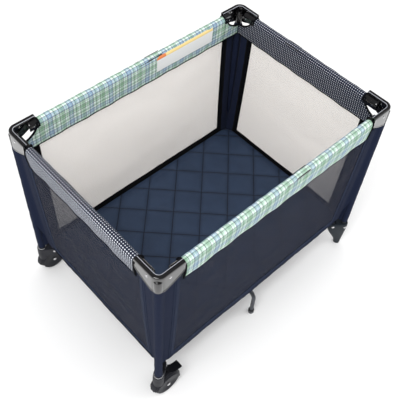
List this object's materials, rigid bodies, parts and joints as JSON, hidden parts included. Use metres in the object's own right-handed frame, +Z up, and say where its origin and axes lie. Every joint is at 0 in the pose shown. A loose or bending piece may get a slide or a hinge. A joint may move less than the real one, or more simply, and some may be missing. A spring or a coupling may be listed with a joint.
{
  "type": "travel play yard",
  "caption": "Folding rectangular play yard with mesh sides, padded top rails, corner brackets, wheels at one end and a quilted mattress.",
  "frame": {"origin": "on the floor under the middle of the floor hub", "axes": "+X along the long side away from the wheels, +Y towards the back long side, +Z up"},
  "size_m": [1.008, 0.7134, 0.77],
  "materials": {
    "tube_steel": "satin powder coat",
    "bracket_plastic": "glossy moulded",
    "foot_plastic": "fine moulded texture",
    "rivet_steel": "bright",
    "wheel_plastic": "matte",
    "latch_plastic": "moulded",
    "button_plastic": "smooth",
    "plaid_fabric": "plain woven cotton check",
    "dotted_fabric": "printed woven",
    "wall_fabric": "plain woven nylon",
    "sleeve_fabric": "plain woven nylon",
    "floor_fabric": "coated woven nylon",
    "mattress_fabric": "quilted brushed cotton",
    "webbing": "ribbed webbing",
    "mesh_fabric": "open knitted mesh",
    "piping_fabric": "bias binding",
    "label_fabric": "blank printed tape",
    "wheel_cover": "moulded"
  },
  "bodies": {
    "leg_front_left": {"leg_tube_front_left": "tube_steel", "corner_bracket_front_left": "bracket_plastic", "leg_sleeve_front_left": "sleeve_fabric", "pivot_pins_front_left": "rivet_steel", "wheel_housing_front_left": "foot_plastic", "side_panel_left": "wall_fabric"},
    "base_front_left": {"base_tube_front_left": "tube_steel", "floor_panel_front_left": "floor_fabric"},
    "leg_front_right": {"leg_tube_front_right": "tube_steel", "corner_bracket_front_right": "bracket_plastic", "leg_sleeve_front_right": "sleeve_fabric", "pivot_pins_front_right": "rivet_steel", "foot_front_right": "foot_plastic", "side_panel_front": "wall_fabric"},
    "base_front_right": {"base_tube_front_right": "tube_steel", "floor_panel_front_right": "floor_fabric"},
    "leg_back_left": {"leg_tube_back_left": "tube_steel", "corner_bracket_back_left": "bracket_plastic", "leg_sleeve_back_left": "sleeve_fabric", "pivot_pins_back_left": "rivet_steel", "wheel_housing_back_left": "foot_plastic", "side_panel_back": "wall_fabric"},
    "base_back_left": {"base_tube_back_left": "tube_steel", "floor_panel_back_left": "floor_fabric"},
    "leg_back_right": {"leg_tube_back_right": "tube_steel", "corner_bracket_back_right": "bracket_plastic", "leg_sleeve_back_right": "sleeve_fabric", "pivot_pins_back_right": "rivet_steel", "foot_back_right": "foot_plastic", "side_panel_right": "wall_fabric"},
    "base_back_right": {"base_tube_back_right": "tube_steel", "floor_panel_back_right": "floor_fabric"},
    "hub": {"hub": "foot_plastic", "hub_pins": "rivet_steel", "pull_strap": "webbing"},
    "mattress": {"mattress": "mattress_fabric"},
    "support_front": {"support_leg_front": "tube_steel"},
    "support_back": {"support_leg_back": "tube_steel"},
    "wheel_front": {"wheel_front_left": "wheel_plastic"},
    "wheel_back": {"wheel_back_left": "wheel_plastic"},
    "rail_front_a": {"rail_front_tube_a": "tube_steel", "rail_front_latch_housing": "latch_plastic", "rail_front_cover": "plaid_fabric"},
    "rail_front_b": {"rail_front_tube_b": "tube_steel"},
    "button_front": {"rail_front_latch_button": "button_plastic"},
    "rail_back_a": {"rail_back_tube_a": "tube_steel", "rail_back_latch_housing": "latch_plastic", "rail_back_cover": "plaid_fabric"},
    "rail_back_b": {"rail_back_tube_b": "tube_steel"},
    "button_back": {"rail_back_latch_button": "button_plastic"},
    "rail_left_a": {"rail_left_tube_a": "tube_steel", "rail_left_latch_housing": "latch_plastic", "rail_left_cover": "dotted_fabric"},
    "rail_left_b": {"rail_left_tube_b": "tube_steel"},
    "button_left": {"rail_left_latch_button": "button_plastic"},
    "rail_right_a": {"rail_right_tube_a": "tube_steel", "rail_right_latch_housing": "latch_plastic", "rail_right_cover": "dotted_fabric"},
    "rail_right_b": {"rail_right_tube_b": "tube_steel"},
    "button_right": {"rail_right_latch_button": "button_plastic"}
  },
  "joints": [
    {"name": "fold", "type": "hinge", "parent": "leg_front_right", "child": "base_front_right", "pos_m": [0.44309, -0.30896, 0.125], "axis": [0.572, 0.8203, 0], "range_deg": [0, 74], "deforming": ["side_panel_front", "side_panel_back", "side_panel_left", "side_panel_right", "floor_panel_front_left", "floor_panel_front_right", "floor_panel_back_left", "floor_panel_back_right", "rail_front_cover", "rail_back_cover", "rail_left_cover", "rail_right_cover", "mattress"]},
    {"name": "hub_pivot", "type": "hinge", "parent": "base_front_right", "child": "hub", "pos_m": [0.02871, -0.02002, 0.125], "axis": [0.572, 0.8203, 0], "range_deg": [-74.5, 0]},
    {"name": "base_front_left_pivot", "type": "hinge", "parent": "hub", "child": "base_front_left", "pos_m": [-0.02871, -0.02002, 0.125], "axis": [0.572, -0.8203, 0], "range_deg": [0, 74.5]},
    {"name": "foot_front_left_pivot", "type": "hinge", "parent": "base_front_left", "child": "leg_front_left", "pos_m": [-0.44309, -0.30896, 0.125], "axis": [0.572, -0.8203, 0], "range_deg": [-74.5, 0]},
    {"name": "base_back_left_pivot", "type": "hinge", "parent": "hub", "child": "base_back_left", "pos_m": [-0.02871, 0.02002, 0.125], "axis": [-0.572, -0.8203, 0], "range_deg": [0, 74.5]},
    {"name": "foot_back_left_pivot", "type": "hinge", "parent": "base_back_left", "child": "leg_back_left", "pos_m": [-0.44309, 0.30896, 0.125], "axis": [-0.572, -0.8203, 0], "range_deg": [-74.5, 0]},
    {"name": "base_back_right_pivot", "type": "hinge", "parent": "hub", "child": "base_back_right", "pos_m": [0.02871, 0.02002, 0.125], "axis": [-0.572, 0.8203, 0], "range_deg": [0, 74.5]},
    {"name": "foot_back_right_pivot", "type": "hinge", "parent": "base_back_right", "child": "leg_back_right", "pos_m": [0.44309, 0.30896, 0.125], "axis": [-0.572, 0.8203, 0], "range_deg": [-74.5, 0]},
    {"name": "support_front_pivot", "type": "hinge", "parent": "hub", "child": "support_front", "pos_m": [-0.018, -0.05, 0.125], "axis": [1, 0, 0], "range_deg": [0, 85.6]},
    {"name": "support_back_pivot", "type": "hinge", "parent": "hub", "child": "support_back", "pos_m": [0.018, 0.05, 0.125], "axis": [-1, 0, 0], "range_deg": [0, 85.6]},
    {"name": "rail_front_end_pivot", "type": "hinge", "parent": "leg_front_right", "child": "rail_front_a", "pos_m": [0.41438, -0.3347, 0.744], "axis": [0, -1, 0], "range_deg": [0, 74.5]},
    {"name": "rail_front_latch_pivot", "type": "hinge", "parent": "rail_front_a", "child": "rail_front_b", "pos_m": [0, -0.3347, 0.744], "axis": [0, -1, 0], "range_deg": [-148.5, 0]},
    {"name": "button_front_press", "type": "slide", "parent": "rail_front_a", "child": "button_front", "axis": [0, 0, 1], "range_m": [0, 0.005], "stiffness_N_per_m": 400, "springref_m": -0.004},
    {"name": "rail_back_end_pivot", "type": "hinge", "parent": "leg_back_right", "child": "rail_back_a", "pos_m": [0.41438, 0.3347, 0.744], "axis": [0, -1, 0], "range_deg": [0, 74.5]},
    {"name": "rail_back_latch_pivot", "type": "hinge", "parent": "rail_back_a", "child": "rail_back_b", "pos_m": [0, 0.3347, 0.744], "axis": [0, -1, 0], "range_deg": [-148.5, 0]},
    {"name": "button_back_press", "type": "slide", "parent": "rail_back_a", "child": "button_back", "axis": [0, 0, 1], "range_m": [0, 0.005], "stiffness_N_per_m": 400, "springref_m": -0.004},
    {"name": "rail_left_end_pivot", "type": "hinge", "parent": "leg_back_left", "child": "rail_left_a", "pos_m": [-0.48, 0.28894, 0.744], "axis": [1, 0, 0], "range_deg": [0, 74.5]},
    {"name": "rail_left_latch_pivot", "type": "hinge", "parent": "rail_left_a", "child": "rail_left_b", "pos_m": [-0.48, 0, 0.744], "axis": [1, 0, 0], "range_deg": [-148.5, 0]},
    {"name": "button_left_press", "type": "slide", "parent": "rail_left_a", "child": "button_left", "axis": [0, 0, 1], "range_m": [0, 0.005], "stiffness_N_per_m": 400, "springref_m": -0.004},
    {"name": "rail_right_end_pivot", "type": "hinge", "parent": "leg_back_right", "child": "rail_right_a", "pos_m": [0.48, 0.28894, 0.744], "axis": [1, 0, 0], "range_deg": [0, 74.5]},
    {"name": "rail_right_latch_pivot", "type": "hinge", "parent": "rail_right_a", "child": "rail_right_b", "pos_m": [0.48, 0, 0.744], "axis": [1, 0, 0], "range_deg": [-148.5, 0]},
    {"name": "button_right_press", "type": "slide", "parent": "rail_right_a", "child": "button_right", "axis": [0, 0, 1], "range_m": [0, 0.005], "stiffness_N_per_m": 400, "springref_m": -0.004},
    {"name": "mattress_lift", "type": "slide", "parent": "hub", "child": "mattress", "axis": [0, 0, 1], "range_m": [0, 0.6]},
    {"name": "wheel_front_spin", "type": "hinge", "parent": "leg_front_left", "child": "wheel_front", "pos_m": [-0.45, -0.3347, 0.045], "axis": [0, 1, 0], "continuous": true},
    {"name": "wheel_back_spin", "type": "hinge", "parent": "leg_back_left", "child": "wheel_back", "pos_m": [-0.45, 0.3347, 0.045], "axis": [0, 1, 0], "continuous": true}
  ],
  "couplings": [
    {"joint": "hub_pivot", "follows": "fold", "ratio": -1},
    {"joint": "base_front_left_pivot", "follows": "fold", "ratio": 1},
    {"joint": "foot_front_left_pivot", "follows": "fold", "ratio": -1},
    {"joint": "base_back_left_pivot", "follows": "fold", "ratio": 1},
    {"joint": "foot_back_left_pivot", "follows": "fold", "ratio": -1},
    {"joint": "base_back_right_pivot", "follows": "fold", "ratio": 1},
    {"joint": "foot_back_right_pivot", "follows": "fold", "ratio": -1},
    {"joint": "support_front_pivot", "follows": "fold", "ratio": 1.15},
    {"joint": "support_back_pivot", "follows": "fold", "ratio": 1.15},
    {"joint": "rail_front_end_pivot", "follows": "fold", "ratio": 1},
    {"joint": "rail_front_latch_pivot", "follows": "fold", "ratio": -2},
    {"joint": "rail_back_end_pivot", "follows": "fold", "ratio": 1},
    {"joint": "rail_back_latch_pivot", "follows": "fold", "ratio": -2},
    {"joint": "rail_left_end_pivot", "follows": "fold", "ratio": 1},
    {"joint": "rail_left_latch_pivot", "follows": "fold", "ratio": -2},
    {"joint": "rail_right_end_pivot", "follows": "fold", "ratio": 1},
    {"joint": "rail_right_latch_pivot", "follows": "fold", "ratio": -2}
  ]
}
